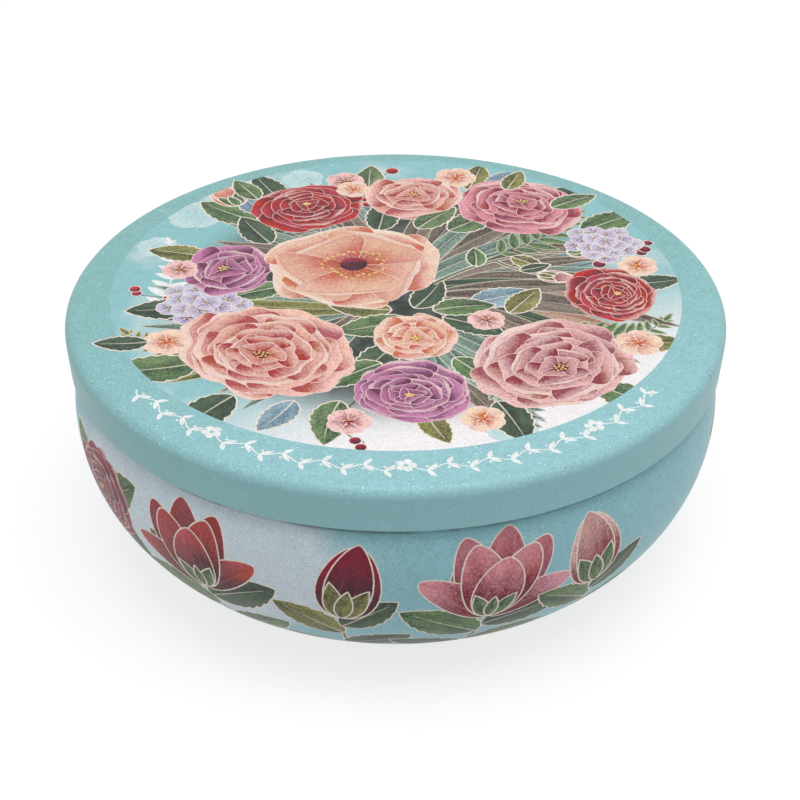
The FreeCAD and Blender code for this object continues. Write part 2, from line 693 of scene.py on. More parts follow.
def blossom(art, x, y, radius, inks, petals=5, line=blush, dots=gold):
    """A small open flower with a few notched petals."""
    start = art.random.uniform(0, FULL_TURN)
    for step in range(petals):
        place = placed(x, y, start + FULL_TURN * step / petals, blossom_breadth * radius / petals, radius)
        outline = petal_outline(art.random, notch=blossom_notch)
        art.edged(outline, place, "petal", inks, line, 0, blossom_fade, fine_line)
    reach = blossom_dot_reach * radius
    for step in range(petals):
        angle = start + FULL_TURN * (step + 0.5) / petals
        spot = (x - reach * math.sin(angle), y + reach * math.cos(angle))
        art.dot(spot, blossom_dot, dots)
    art.fill(disc(10), round_at(x, y, radius * blossom_heart), "petal", (inks[0], dots))


def cluster(art, x, y, radius, inks):
    """A round head of small four-petalled florets."""
    for floret in range(florets):
        reach = radius * math.sqrt((florets - floret - 0.5) / florets)
        spot = (x, y) + reach * pointing(seed_turn * floret)
        shade = art.random.uniform(*floret_shades)
        tone = (between(*inks, shade), between(inks[1], white, shade))
        blossom(art, *spot, radius * floret_share, tone, 4, cream)


def veins(art, place, curl, inks, shares):
    """Fine lines up a petal from near its base, each at a share of the way to its edge."""
    up = np.linspace(*vein_reach, 8)
    for share in shares:
        across = 0.4 * share * np.sin(math.pi * up ** 0.8)
        vein = curled(np.stack([across, up], axis=1), curl)
        art.stroke(moved(place, vein), *vein_widths, between(*inks, vein_tint))


def sepals(art, x, y, turn, outer, middle, spread, slim, inks):
    """Two pointed sepals round a flower's base, and a shorter one in front of them."""
    for side, length in ((-1, outer), (1, outer), (0, middle)):
        leaf(art, x, y, turn - side * spread, length, inks, slim, cream, 0, -0.3 * side, False)


def mirrored(lean, tall, wide, curl, shade):
    return [(side * lean, tall, wide, side * curl, shade) for side in (-1, 1)]


# Each petal is how far it leans, its length and width, its curl and its shade
bud_petals = mirrored(0.20, 0.94, 0.50, -0.20, 0.0) + [(0.0, 1.0, 0.46, 0.0, 0.30)]
bud_fade = (0.25, 1.05)
bud_veins = (-0.4, 0.4)
back_petals = mirrored(0.40, 0.96, 0.40, 0.0, 0.42) + [(0.0, 1.0, 0.42, 0.0, 0.34)]
open_petals = mirrored(0.80, 0.80, 0.34, 0.50, 0.0)
front_petals = mirrored(0.24, 0.86, 0.42, 0.14, 0.12) + [(0.02, 0.70, 0.44, 0.05, 0.0)]
goblet_petals = back_petals + open_petals + front_petals
goblet_fade = (0.30, 1.10)
goblet_veins = (-0.55, 0.0, 0.55)


def upright_petals(art, x, y, turn, length, inks, petals, outline, fade, vein_shares):
    """The pointed petals of a flower seen from the side, each over the ones before it."""
    for lean, tall, wide, curl, shade in petals:
        tone = (inks[0], between(inks[1], inks[0], shade))
        place = placed(x, y, turn - lean, length * wide, length * tall)
        art.edged(outline, place, "petal", tone, cream, curl, fade)
        veins(art, place, curl, tone, vein_shares)


def bud(art, x, y, turn, length, inks, green):
    """A closed flower: petals wrapped round each other over pointed sepals."""
    outline = blade_outline(0.55, 0.7)
    upright_petals(art, x, y, turn, length, inks, bud_petals, outline, bud_fade, bud_veins)
    sepals(art, x, y, turn, length * 0.52, length * 0.42, 0.5, 0.4, green)


def goblet(art, x, y, turn, length, inks, green):
    """A half-open cupped flower: back petals, then the two that fall open, then the front."""
    outline = blade_outline(0.5, 0.6, 17)
    upright_petals(art, x, y, turn, length, inks, goblet_petals, outline, goblet_fade, goblet_veins)
    sepals(art, x, y, turn, length * 0.34, length * 0.26, 0.7, 0.42, green)


def fern(art, start, middle, end, inks, leaflets, longest, line=None):
    """A frond: pairs of leaflets along a bowed stalk, shorter towards its tip."""
    line = line or between(inks[1], cream, 0.3)
    spine = curve(start, middle, end, 2 * leaflets)
    art.stroke(spine, *frond_widths, inks[0])
    for pair in range(1, leaflets):
        share = pair / leaflets
        size = longest * (1 - share) ** 0.7 * min(1, 0.55 + 2 * share)
        for side in (-1, 1):
            turn = turn_along(spine, 2 * pair) + leaflet_turn * side
            curl = -leaflet_curl * side
            leaf(art, *spine[2 * pair], turn, size, inks, leaflet_slim, line, 0, curl, False)
    end_turn = turn_along(spine, -1)
    leaf(art, *spine[-2], end_turn, longest * tip_leaflet, inks, leaflet_slim, line, 0, 0, False)


def sheaf(art, x, y, turn, spread, count, length, curl, choices):
    """Long slim leaves fanned out from one point, all swaying the same way."""
    draw = art.random
    for number in draw.sample(range(count), count):
        inks = choices[number % len(choices)]
        lean = turn + spread * (number / (count - 1) - 0.5)
        leaf(art, x, y, lean, length * draw.uniform(*sheaf_lengths), inks, draw.uniform(*sheaf_slims),
             between(inks[1], cream, 0.35), 0, curl * draw.uniform(*sheaf_curls))


def berries(art, start, middle, end, inks, count):
    """A bowed twig with round berries on short stalks."""
    twig = curve(start, middle, end, 3 * count)
    art.stroke(twig, *twig_widths, stem_brown)
    for berry in range(count):
        at = twig[3 * berry + 2]
        tip = at + berry_stalk * pointing(art.random.uniform(0, FULL_TURN))
        size = art.random.uniform(*berry_sizes)
        art.stroke([at, (at + tip) / 2, tip], *stalk_widths, stem_brown)
        art.edged(disc(14), round_at(*tip, size), "petal", inks, blush, 0, (-1.0, 1.2), fine_line)


def stem(art, start, middle, end, leaves, thick=1.0):
    """A bowed stem with a fine line along it. Each leaf is a place along the stem, how far it turns from
    it, its length, its inks and its teeth."""
    path = curve(start, middle, end, 16)
    for edge, colour in ((2 * fine_line, cream), (0.0, stem_green)):
        art.stroke(path, thick + edge, stem_taper * thick + edge, colour)
    for at, turn, length, inks, teeth in leaves:
        step = round(at * (len(path) - 1))
        lean = turn_along(path, step) + turn
        leaf(art, *path[step], lean, length, inks, stem_leaf_slim, cream, teeth, -0.3 * turn)


# The lid's print: a bouquet in a round medallion, a plain ring round it, and a white vine on the ring

def cover_ring(art):
    """The plain ring over whatever crosses the medallion's edge, as two halves."""
    for start in (0.0, math.pi):
        angles = start + np.linspace(0, math.pi, ring_cover_points)
        arc = np.stack([np.cos(angles), np.sin(angles)], axis=1)
        inner = medallion_radius * arc[::-1] + (0, medallion_back)
        art.fill(np.vstack([ring_cover_radius * arc, inner]), np.eye(3), "ground", (cream, cream))


def ring_ornament(art):
    """A fine white vine on the front of the ring: leaflets and dots at its waves, and three small
    flowers."""
    first, last = vine_arc
    angles = np.linspace(first, last, vine_waves * points_per_wave + 1)
    share = (angles - first) / (last - first)
    reach = vine_radius + vine_wave_height * np.sin(share * vine_waves * FULL_TURN)
    vine = np.stack([reach * np.cos(angles), reach * np.sin(angles)], axis=1)
    art.stroke(vine, vine_line, vine_line, white)
    for wave in range(2 * vine_waves):
        side = 1 if wave % 2 == 0 else -1
        crest = round((wave + 0.5) * points_per_wave / 2)
        spot = vine[crest]
        along = turn_along(vine, crest)
        if wave % 10 == 5:
            for step in range(vine_petals):
                place = placed(*spot, along + FULL_TURN * step / vine_petals, 1.6, 2.1)
                art.fill(petal_outline(art.random, points=8), place, "line", (white, white))
            art.dot(spot, vine_flower_dot, lid_teal)
            continue
        for turn, length in ((-1.0 * side, 2.5), (0.75 * side, 2.9)):
            place = placed(*spot, along + turn, 1.0, length)
            art.fill(blade_outline(points=9), place, "line", (white, white))
        art.dot(spot - 1.3 * side * pointing(angles[crest]), vine_dot, white)


def kept_inside(shapes, radius):
    """Shapes that reach out of a circle end on its edge."""
    for shape in shapes:
        reach = np.linalg.norm(shape["points"], axis=1)
        shape["points"] = shape["points"] * np.minimum(1, radius / np.maximum(reach, tiny))[:, None]


def broad_leaves(art, rows, slim, teeth, curl):
    """Toothed leaves, each a place, a turn, a length and its inks, that curl up to so far either way."""
    for x, y, turn, length, inks in rows:
        leaf(art, x, y, turn, length, inks, slim, cream, teeth, art.random.uniform(-curl, curl))


def lid_print():
    art = Print(11)
    sky_place = round_at(0, medallion_back, medallion_radius + sky_overlap)
    art.fill(disc(160), sky_place, "sky", (white, white))

    # Pale blossoms in the sky, and a white spray in its open side
    for x, y, radius in ((-34, 48, 8), (-46, 37, 6.5), (-22, 55, 5), (-53, 22, 4.5), (22, -48, 6)):
        blossom(art, x, y, radius, ghost, 5, ghost[1], ghost[1])
    fern(art, (-51, -6), (-46, 8), (-51, 26), (white, white), 9, 6, white)

    # Sheaves of long leaves that sway out from the middle, and fronds between them
    sheaf(art, 2, 4, -0.75, 1.5, 15, 52, 2.0, (taupe, leaf_dark, taupe, leaf_grey))
    sheaf(art, 6, 0, -1.75, 1.1, 13, 50, 2.2, (taupe, taupe, leaf_dark, tan))
    sheaf(art, -2, 8, 0.5, 0.9, 8, 44, -1.6, (leaf_grey, taupe, leaf_dark))
    sheaf(art, -6, -4, 2.1, 1.3, 11, 44, 1.8, (taupe, leaf_grey, leaf_olive))
    sheaf(art, 6, -8, -2.7, 0.8, 8, 42, -1.8, (leaf_grey, taupe))
    fern(art, (20, 18), (40, 28), (42, 46), leaf_green, 12, 9)
    fern(art, (-14, 26), (-26, 40), (-42, 40), leaf_grey, 11, 8)
    fern(art, (32, -12), (50, -20), (57, -8), leaf_green, 10, 8)
    fern(art, (-28, -14), (-48, -24), (-56, -14), leaf_olive, 10, 8)
    fern(art, (18, -32), (28, -42), (24, -54), leaf_grey, 9, 7)
    berries(art, (-4, 40), (-8, 52), (0, 61), crimson, 7)
    berries(art, (40, 14), (52, 18), (57, 26), wine, 6)
    berries(art, (-36, 2), (-48, -2), (-57, 2), crimson, 6)
    berries(art, (-8, -40), (-14, -50), (-6, -54), wine, 5)

    # Broad toothed leaves close round the flowers
    broad_leaves(art, (
        (-40, -26, 1.9, 19, leaf_green), (-32, -38, 2.4, 17, leaf_dark), (-11, -40, 2.8, 15, leaf_green),
        (6, -44, -2.9, 11, leaf_olive), (20, -40, -2.7, 15, leaf_dark), (40, -34, -2.2, 16, leaf_green),
        (47, -18, -1.6, 13, leaf_olive), (50, 6, -1.5, 12, leaf_dark), (42, 30, -1.0, 16, leaf_green),
        (36, 42, -0.7, 17, leaf_dark), (17, 50, -0.3, 13, leaf_olive), (-6, 48, 0.1, 14, leaf_green),
        (-26, 44, 0.6, 15, leaf_dark), (-32, 34, 1.0, 16, leaf_green), (-42, 18, 1.3, 13, leaf_olive),
        (-42, -4, 1.7, 15, leaf_dark), (22, 50, -0.5, 12, leaf_blue), (-30, 38, 0.7, 12, leaf_blue),
        (16, -2, -1.2, 14, leaf_blue), (-20, -40, 2.7, 12, leaf_blue), (12, 30, -0.9, 15, leaf_green),
        (24, -6, -0.6, 12, leaf_olive), (-28, 24, 0.6, 14, leaf_dark), (10, -8, -1.9, 14, leaf_dark),
        (8, -5, -1.25, 13, leaf_green), (4, -4, -0.6, 13, leaf_dark), (-1, -5, 1.5, 13, leaf_olive),
        (3, -9, 1.95, 16, leaf_green), (0, -19, 2.5, 15, leaf_dark), (-3, -26, 2.1, 14, leaf_green),
        (12, -24, -2.4, 12, leaf_green), (-4, 30, -0.2, 14, leaf_dark), (5, 31, -0.6, 13, leaf_green),
        (-24, 5, 1.9, 13, leaf_green)), 0.48, 7, 0.35)
    bud(art, -36, 42, 0.6, 12, peach, leaf_green)

    # A twig of buds across the long leaves
    twig_leaves = ((0.35, 0.9, 8, leaf_green, 5), (0.6, -0.9, 9, leaf_olive, 5))
    stem(art, (8, 6), (22, 20), (38, 20), twig_leaves, 0.8)
    bud(art, 38, 20, -1.5, 9, peach, leaf_green)
    stem(art, (22, 16), (26, 12), (31, 10), ((0.6, 0.8, 7, leaf_dark, 5),), 0.7)
    bud(art, 31, 10, -1.8, 8, dusty_pink, leaf_olive)

    # The flowers, from the far side to the near side
    blossom(art, 14, 56, 5, peach)
    blossom(art, -12, 54, 4.5, dusty_pink)
    blossom(art, 53, 14, 4.5, peach)
    cluster(art, 46, 24, 7, mauve)
    bloom(art, -20, 41, 13, crimson, camellia_rings, 0.3, 0.3, 0.015)
    bloom(art, 28, 42, 15, rose_pink, peony_rings, -0.6, 0.35, 0.03)
    bloom(art, 4, 46, 11, salmon, small_rings, 0.0, 0.3, 0.02)
    cluster(art, -41, -3, 8, mauve)
    bloom(art, -36, 12, 11, plum, small_rings, 1.2, 0.35, 0.02)
    anemone(art, -9, 14, 18, peach, 0.4, 0.15)
    bloom(art, 46, 2, 11, crimson, camellia_rings, -1.5, 0.3, 0.015)
    bloom(art, 3, -36, 12.5, plum, camellia_rings, 3.0, 0.3, 0.02)
    bloom(art, -26, -21, 18.5, salmon, peony_rings, 2.4, 0.25, 0.035)
    bloom(art, 32, -26, 17.5, dusty_pink, peony_rings, -2.4, 0.25, 0.03)
    bloom(art, 4, -16, 9, peach, small_rings, -2.8, 0.1, 0.02)
    for x, y, radius, inks in (
            (-47, -18, 5, peach), (-47, 12, 4, dusty_pink), (17, -46, 4.5, peach), (50, -18, 5, peach),
            (-9, -47, 4.5, dusty_pink), (-10, 50, 4, peach), (19, -9, 4, dusty_pink)):
        blossom(art, x, y, radius, inks)

    # The ring, what grows out over it, and its ornament
    cover_ring(art)
    broad_leaves(art, (
        (36, 41, -0.9, 12, leaf_green), (-32, 45, 0.55, 11, leaf_green),
        (-51, -18, 1.75, 11, leaf_dark), (26, 50, -0.35, 10, leaf_olive)), 0.46, 6, 0.3)
    ring_ornament(art)
    kept_inside(art.shapes[1:], lid_print_radius)
    return art


# The body's print: sprigs that rise from the foot, all round

def cupped(art, x, sway, inks, length=22):
    """A tall sprig with a half-open flower and big toothed leaves."""
    height = -14
    leaves = (
        (0.30, 1.0, 15, leaf_green, 6), (0.42, -1.0, 17, leaf_dark, 7), (0.58, 0.95, 20, leaf_dark, 7),
        (0.66, -0.9, 20, leaf_green, 7), (0.84, 1.0, 20, leaf_green, 7), (0.90, -1.05, 20, leaf_dark, 7),
        (0.99, 0.62, 16, leaf_olive, 6))
    stem(art, (x, sprig_foot), (x - sway, -44), (x + sway, height), leaves, 1.2)
    goblet(art, x + sway, height, -0.05 * sway, length, inks, leaf_green)


def nodding(art, x, sway, inks, green):
    """A slim sprig with a closed bud."""
    height = -13
    leaves = ((0.35, -0.9, 14, green, 5), (0.52, 0.9, 17, leaf_green, 6), (0.70, -0.8, 18, leaf_dark, 6),
              (0.84, 0.85, 17, green, 6), (0.94, -0.75, 15, leaf_dark, 6))
    stem(art, (x, sprig_foot), (x + sway, -42), (x + sway, height), leaves)
    bud(art, x + sway, height, -0.07 * sway, 20, inks, green)


def full(art, x, inks):
    """A round bloom on a short stem, framed by leaves."""
    draw = art.random
    y = -6
    radius = 12.5
    leaves = ((0.45, 1.0, 16, leaf_green, 6), (0.6, -1.0, 17, leaf_dark, 6))
    stem(art, (x - 4, sprig_foot), (x - 8, -36), (x, y - radius * 0.6), leaves)
    for turn, size in ((1.15, 1.4), (-1.1, 1.45), (2.1, 1.55), (-2.2, 1.6), (2.75, 1.5), (-2.8, 1.45)):
        green = draw.choice((leaf_green, leaf_dark))
        leaf(art, x, y, turn, radius * size, green, 0.5, cream, 7, draw.uniform(-0.3, 0.3))
    bloom(art, x, y, radius, inks, camellia_rings, 0.2, 0.2, 0.02)


def body_print():
    art = Print(23)
    draw = art.random

    # Fallen petals near the foot
    for step in range(fallen_petals):
        x = fallen_petal_start + fallen_petal_step * step + draw.uniform(-4, 4)
        place = placed(x, draw.uniform(-51, -43), draw.uniform(0, FULL_TURN), 5, 6.5)
        outline = petal_outline(draw, notch=0.06)
        art.edged(outline, place, "petal", draw.choice((tan, peach, tan)), blush, 0.1)

    # Fronds, and the sprigs in front of them
    for x, lean, inks in (
            (-66, 4, leaf_olive), (27, -4, leaf_olive), (-6, 4, leaf_grey), (128, -4, leaf_olive),
            (-138, 4, leaf_grey), (70, 3, leaf_olive), (-98, -4, leaf_grey), (207, -4, leaf_olive),
            (-206, -3, leaf_grey), (76, 4, leaf_grey)):
        fern(art, (x, frond_foot), (x - lean, -42), (x + lean, -24), inks, 10, 8)
    full(art, -74, wine)
    cupped(art, -39, -3, maroon)
    nodding(art, -14, 3, wine, leaf_olive)
    cupped(art, 16, 3, rose_pink, 23)
    nodding(art, 47, -3, dusty_pink, leaf_green)
    full(art, 104, dusty_pink)
    cupped(art, 138, 3, rose_pink)
    nodding(art, 165, -3, crimson, leaf_olive)
    full(art, 191, salmon)
    cupped(art, -188, -3, crimson)
    full(art, -150, dusty_pink)
    nodding(art, -116, 3, rose_pink, leaf_olive)
    return art


# What shows of a print

def cut_flat(points, edges, outlines):
    """Flat triangles inside closed outlines, cut along all the edges and outlines: their corners, edges
    and faces, and for each of these the numbers of the points, edges or outlines that it comes from."""
    given = [Vector(p) for p in points]
    corners, *rest = delaunay_2d_cdt(given, edges, outlines, inside_only, cut_tolerance, True)
    return np.array([tuple(p) for p in corners]), *rest


def sides_of(face):
    return zip(face, face[1:] + face[:1])


def visible_seams(border, shapes):
    """The lines inside a border where one shape ends and another shows: their points, and for each line its
    two ends and the numbers of the shapes on its left and right, -1 for the ground."""
    points = list(border)
    outlines = [list(range(len(border)))]
    for shape in shapes:
        outlines.append(list(range(len(points), len(points) + len(shape["points"]))))
        points.extend(leftwards(shape["points"]))
    spots, _, faces, spot_origins, _, face_origins = cut_flat(points, [], outlines)
    tops = {side: max(origins) - 1 for face, origins in zip(faces, face_origins) for side in sides_of(face)}
    seams = {}
    touching = {}
    for (start, end), left in tops.items():
        right = tops.get((end, start), left)
        if left != right and start < end:
            touching.setdefault(start, []).append(len(seams))
            touching.setdefault(end, []).append(len(seams))
            seams[len(seams)] = (start, end, left, right)

    # Where only a hidden line met a seam, the seam's two halves become one again.
    for spot, numbers in touching.items():
        if len(numbers) == 2 and not spot_origins[spot]:
            first, second = numbers
            start, end, left, right = seams[first]
            if start == spot:
                start, end, left, right = end, start, right, left
            far = sum(seams[second][:2]) - spot
            ahead, beyond = spots[spot] - spots[start], spots[far] - spots[spot]
            bow = abs(ahead[0] * beyond[1] - ahead[1] * beyond[0])
            if bow < cut_tolerance * np.linalg.norm(spots[far] - spots[start]):
                seams[first] = (start, far, left, right)
                del seams[second]
                touching[far][touching[far].index(second)] = first
    used = sorted({spot for start, end, *_ in seams.values() for spot in (start, end)})
    number_of = {spot: number for number, spot in enumerate(used)}
    renumbered = [(number_of[start], number_of[end], *shown) for start, end, *shown in seams.values()]
    return spots[used], renumbered


def tops_of_faces(cut, spots, seams, first_seam):
    """The number of the shape that shows in each face, which spreads from the seams to the faces between
    them."""
    flat, edges, faces, _, edge_origins, _ = cut
    known = {}
    for (first, second), origins in zip(edges, edge_origins):
        for origin in origins:
            if first_seam <= origin < first_seam + len(seams):
                start, end, left, right = seams[origin - first_seam]
                if (flat[second] - flat[first]) @ (spots[end] - spots[start]) < 0:
                    left, right = right, left
                known[first, second] = left
                known[second, first] = right
    owner = {side: number for number, face in enumerate(faces) for side in sides_of(face)}
    tops = [None] * len(faces)
    reached = []
    for side, top in known.items():
        if side in owner and tops[owner[side]] is None:
            tops[owner[side]] = top
            reached.append(owner[side])
    while reached:
        number = reached.pop()
        for start, end in sides_of(faces[number]):
            other = owner.get((end, start))
            if (start, end) not in known and other is not None and tops[other] is None:
                tops[other] = tops[number]
                reached.append(other)
    return tops


# Shells: meshes turned about the tin's axis, with printed patches welded in

def round_axis(angle, r, z):
    """A point or a normal at this angle round the tin, from the front and towards the right."""
    return np.stack([r * np.sin(angle), -r * np.cos(angle), z + 0 * angle], axis=-1)


def new_object(name, data):
    made = bpy.data.objects.new(name, data)
    bpy.context.scene.collection.objects.link(made)
    return made


ring_angles = np.arange(segments) * FULL_TURN / segments


class Shell:
    """The corners and faces of one formed sheet, and what each face is printed with."""

    def __init__(self, materials):
        self.materials = materials
        self.order = list(materials)
        self.points = np.zeros((0, 3))
        self.normals = np.zeros((0, 3))
        self.flat = np.zeros((0, 2))
        self.faces = []
        self.face_materials = []
        self.face_shapes = []
        self.facings = {}
        self.shapes = []

    def add(self, points, normals, flat=None):
        """New corners, and the numbers that they get."""
        first = len(self.points)
        self.points = np.vstack([self.points, points])
        self.normals = np.vstack([self.normals, normals])
        self.flat = np.vstack([self.flat, np.zeros((len(points), 2)) if flat is None else flat])
        return list(range(first, len(self.points)))

    def face(self, corners, material, shape=-1):
        self.faces.append(corners)
        self.face_materials.append(self.order.index(material))
        self.face_shapes.append(shape)

    def ring(self, row):
        """One ring of a turned face, from its r, z and normal. A row on the axis is a single point."""
        r, z, normal_r, normal_z = row
        if r < on_axis:
            return self.add([(0, 0, z)], [(0, 0, normal_z)]) * segments
        return self.add(round_axis(ring_angles, r, z), round_axis(ring_angles, normal_r, normal_z))

    def band(self, low, high, material, facing=None):
        """Faces between two rings, on the right of the way from the first to the second. A flat band faces
        one way, given as r and z."""
        for step in range(segments):
            after = (step + 1) % segments
            if facing is not None:
                angles = ring_angles[[step, after, after, step]]
                self.facings[len(self.faces)] = round_axis(angles, *facing)
            corners = [low[step], low[after], high[after], high[step]]
            self.face(list(dict.fromkeys(corners)), material)

    def turned(self, rows, material):
        rings = [self.ring(row) for row in rows]
        for low, high in zip(rings, rings[1:]):
            self.band(low, high, material)
        return rings

    def printed(self, shapes, ground, border, lines, known, lift):
        """A printed patch inside a border: what shows of the shapes, lifted on to the tin. known holds the
        shell's corner for each point of the border, and lines are cut in beside the shapes."""
        spots, seams = visible_seams(border, shapes)
        points = [*border, *(end for line in lines for end in line), *spots]
        edges = [(len(border) + 2 * number, len(border) + 2 * number + 1) for number in range(len(lines))]
        first_spot = len(border) + 2 * len(lines)
        edges += [(first_spot + start, first_spot + end) for start, end, *_ in seams]
        cut = cut_flat(points, edges, [list(range(len(border)))])
        flat, _, faces, flat_origins, *_ = cut
        corners = self.add(*lift(flat), flat)
        for number, origins in enumerate(flat_origins):
            for origin in origins:
                if origin < len(known):
                    self.flat[known[origin]] = flat[number]
                    corners[number] = known[origin]
        for face, top in zip(faces, tops_of_faces(cut, spots, seams, len(lines))):
            self.face([corners[i] for i in face], ground if top < 0 else shapes[top]["material"], top)
        self.shapes = shapes

    def object(self, name):
        """The shell as a Blender object, with its inks as attributes and its true normals."""
        mesh = bpy.data.meshes.new(name)
        used = np.unique(np.concatenate(self.faces))
        renumber = np.zeros(len(self.points), int)
        renumber[used] = np.arange(len(used))
        faces = [renumber[face].tolist() for face in self.faces]
        mesh.from_pydata((self.points[used] * MM).tolist(), [], faces)
        for material in self.order:
            mesh.materials.append(self.materials[material])
        mesh.polygons.foreach_set("material_index", self.face_materials)
        mesh.polygons.foreach_set("use_smooth", [True] * len(self.faces))
        self.add_inks(mesh)
        normals = [self.facings.get(number, self.normals[face]) for number, face in enumerate(self.faces)]
        mesh.normals_split_custom_set(np.vstack(normals).tolist())
        return new_object(name, mesh)

    def add_inks(self, mesh):
        """Each face's two inks, and where each of its corners lies on the shape that it is printed with."""
        blank = {"inks": (cream, cream), "inverse": np.eye(3), "curl": 0.0, "fade": (0.0, 1.0), "seed": 0.0}
        table = self.shapes + [blank]
        corner_shapes = np.repeat(self.face_shapes, [len(face) for face in self.faces])

        def looked_up(key, shapes):
            return np.array([shape[key] for shape in table])[shapes]

        inks = looked_up("inks", self.face_shapes)
        spot = np.hstack([self.flat[np.concatenate(self.faces)], np.ones((len(corner_shapes), 1))])
        own = np.einsum("nij,nj->ni", looked_up("inverse", corner_shapes), spot)
        low, high = looked_up("fade", corner_shapes).T
        across = 2 * (own[:, 0] - looked_up("curl", corner_shapes) * own[:, 1] ** 2)
        along = (own[:, 1] - low) / (high - low)
        at = np.stack([across, along, looked_up("seed", corner_shapes)], axis=1)
        for name, kind, domain, field, values in (
                ("ink_dark", "FLOAT_COLOR", "FACE", "color", inks[:, 0]),
                ("ink_light", "FLOAT_COLOR", "FACE", "color", inks[:, 1]),
                ("ink_at", "FLOAT_VECTOR", "CORNER", "vector", at)):
            attribute = mesh.attributes.new(name, kind, domain)
            attribute.data.foreach_set(field, values.astype(np.float32).ravel())


# Finishes

def grey(share):
    return (share, share, share, 1)


class Finish:
    """The shader nodes of a material, a world or a node group, wired as they are made."""

    def __init__(self, owner):
        self.owner = owner
        self.tree = owner
        if not isinstance(owner, bpy.types.NodeTree):
            owner.use_nodes = True
            self.tree = owner.node_tree
            self.tree.nodes.clear()

    def node(self, kind, inputs=(), **settings):
        made = self.tree.nodes.new(kind)
        for key, value in settings.items():
            setattr(made, key, value)
        for key, value in dict(inputs).items():
            if isinstance(value, bpy.types.NodeSocket):
                self.tree.links.new(value, made.inputs[key])
            else:
                made.inputs[key].default_value = value
        return made

    def shader(self, kind, inputs):
        return self.node(kind, inputs).outputs[0]

    def math(self, operation, first, second=0.0, third=0.0, clamp=False):
        inputs = {0: first, 1: second, 2: third}
        return self.node("ShaderNodeMath", inputs, operation=operation, use_clamp=clamp).outputs[0]

    def product(self, first, *others, clamp=False):
        for other in others:
            first = self.math("MULTIPLY", first, other, clamp=clamp)
        return first

    def scaled(self, value, by, plus):
        return self.math("MULTIPLY_ADD", value, by, plus)

    def stretched(self, vector, by):
        return self.node("ShaderNodeVectorMath", {0: vector, 1: by}, operation="MULTIPLY").outputs[0]

    def noise(self, vector, size, detail=2.0, roughness=0.5):
        """Smooth noise from 0 to 1, whose waves are about this many millimetres long."""
        inputs = {"Vector": vector, "Scale": 1 / (size * MM), "Detail": detail, "Roughness": roughness}
        return self.node("ShaderNodeTexNoise", inputs).outputs["Fac"]

    def own_noise(self, vector, scale, detail=2.0):
        """Noise over a shape's own coordinates, with a scale for each of them."""
        inputs = {"Vector": self.stretched(vector, scale), "Scale": 1.0, "Detail": detail}
        return self.node("ShaderNodeTexNoise", inputs).outputs["Fac"]

    def smooth(self, value, low, high):
        """A soft step from 0 to 1."""
        inputs = {"Value": value, "From Min": low, "From Max": high}
        return self.node("ShaderNodeMapRange", inputs, interpolation_type="SMOOTHSTEP").outputs["Result"]

    def smooth_mm(self, length, low, high):
        """A soft step from 0 to 1 between two lengths in millimetres."""
        return self.smooth(length, low * MM, high * MM)

    def mixed(self, share, first, second, blend="MIX"):
        inputs = {0: share, 6: first, 7: second}
        return self.node("ShaderNodeMix", inputs, data_type="RGBA", blend_type=blend).outputs[2]

    def swayed(self, value, noise, amount):
        """A value that noise moves up and down by half an amount."""
        return self.scaled(noise, amount, self.math("SUBTRACT", value, amount / 2))

    def bump(self, height, depth, strength):
        """The normal of a relief this many millimetres deep."""
        inputs = {"Height": height, "Distance": depth * MM, "Strength": strength}
        return self.node("ShaderNodeBump", inputs).outputs[0]

    def attribute(self, name, output="Color"):
        return self.node("ShaderNodeAttribute", attribute_name=name).outputs[output]

    def place(self):
        return self.node("ShaderNodeTexCoord").outputs["Object"]

    def axes(self, vector):
        return self.node("ShaderNodeSeparateXYZ", {0: vector}).outputs

    def reach(self, vector):
        """The distance from the tin's axis."""
        flat = self.stretched(vector, (1, 1, 0))
        return self.node("ShaderNodeVectorMath", {0: flat}, operation="LENGTH").outputs["Value"]

    def towards(self, place, across, back, radius):
        """How far a place lies out to one side of the tin, as a share of a radius."""
        x, y, _ = self.axes(place)
        return self.scaled(x, across / (radius * MM), self.product(y, back / (radius * MM)))

    def seen_or_not(self, unseen, seen):
        """One shader for what is seen, straight or mirrored or through glass, and another for the rest."""
        ray = self.node("ShaderNodeLightPath").outputs
        through = self.math("MAXIMUM", ray["Is Glossy Ray"], ray["Is Transmission Ray"])
        looking = self.math("MAXIMUM", ray["Is Camera Ray"], through)
        return self.shader("ShaderNodeMixShader", {0: looking, 1: unseen, 2: seen})

    def surface(self, shader):
        """Ends a material, and hands it over."""
        self.node("ShaderNodeOutputMaterial", {"Surface": shader})
        return self.owner


def new_finish(name):
    return Finish(bpy.data.materials.new(name))


